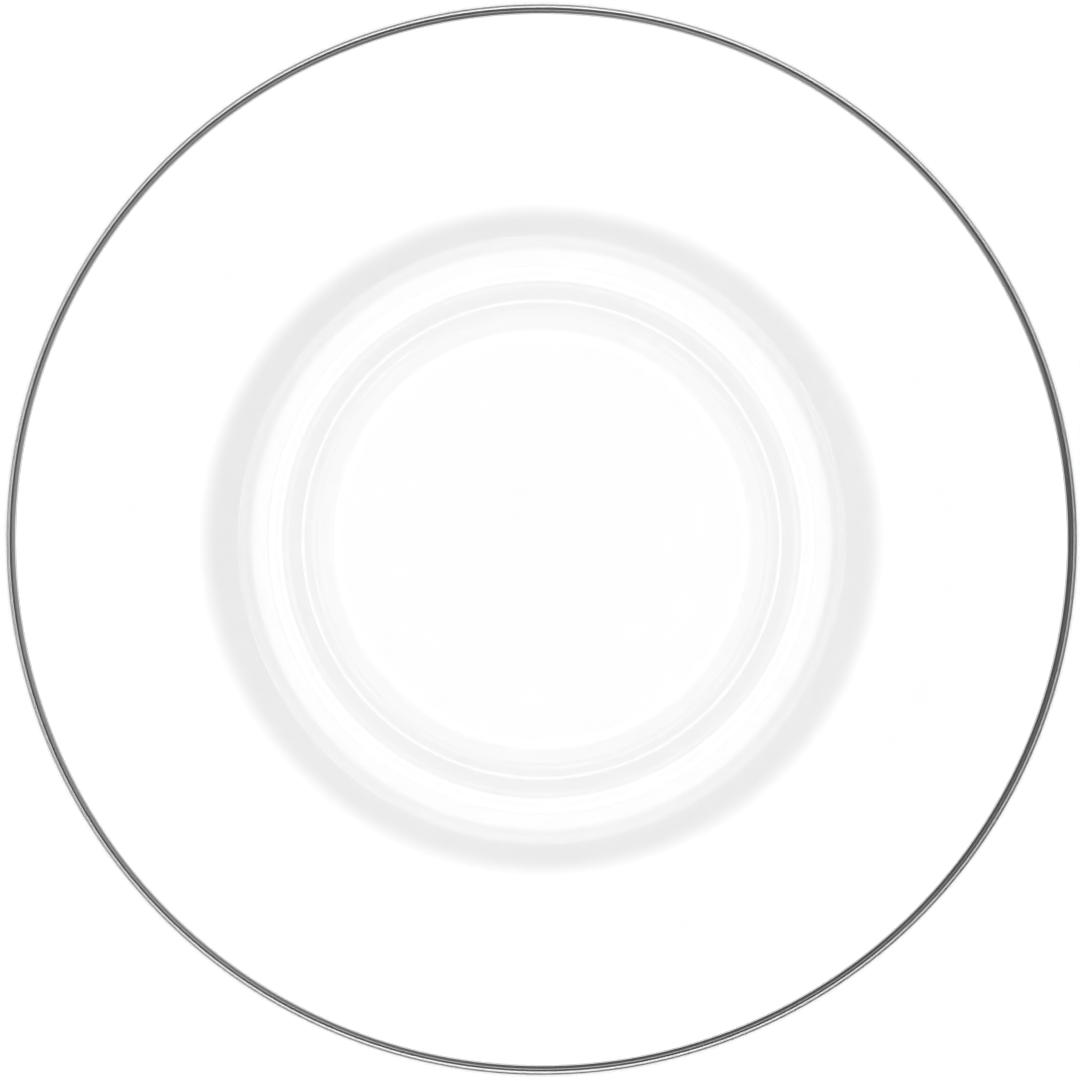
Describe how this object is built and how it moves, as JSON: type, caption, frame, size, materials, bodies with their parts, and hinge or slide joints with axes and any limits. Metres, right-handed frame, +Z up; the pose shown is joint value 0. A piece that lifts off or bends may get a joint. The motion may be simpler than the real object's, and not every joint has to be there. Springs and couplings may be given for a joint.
{
  "type": "glass saucer",
  "caption": "Round clear-glass saucer with a wide sloping flange, a rounded rim with a small bead under it, a curved well with a flat cup seat and a low foot ring.",
  "frame": {"origin": "on the axis, on the plane that the foot ring stands on", "axes": "+Z up along the axis of the turned shape; X and Y are any two level directions"},
  "size_m": [0.14, 0.14, 0.018],
  "materials": {
    "clear_glass": "polished"
  },
  "bodies": {
    "root": {"saucer": "clear_glass"}
  },
  "joints": []
}
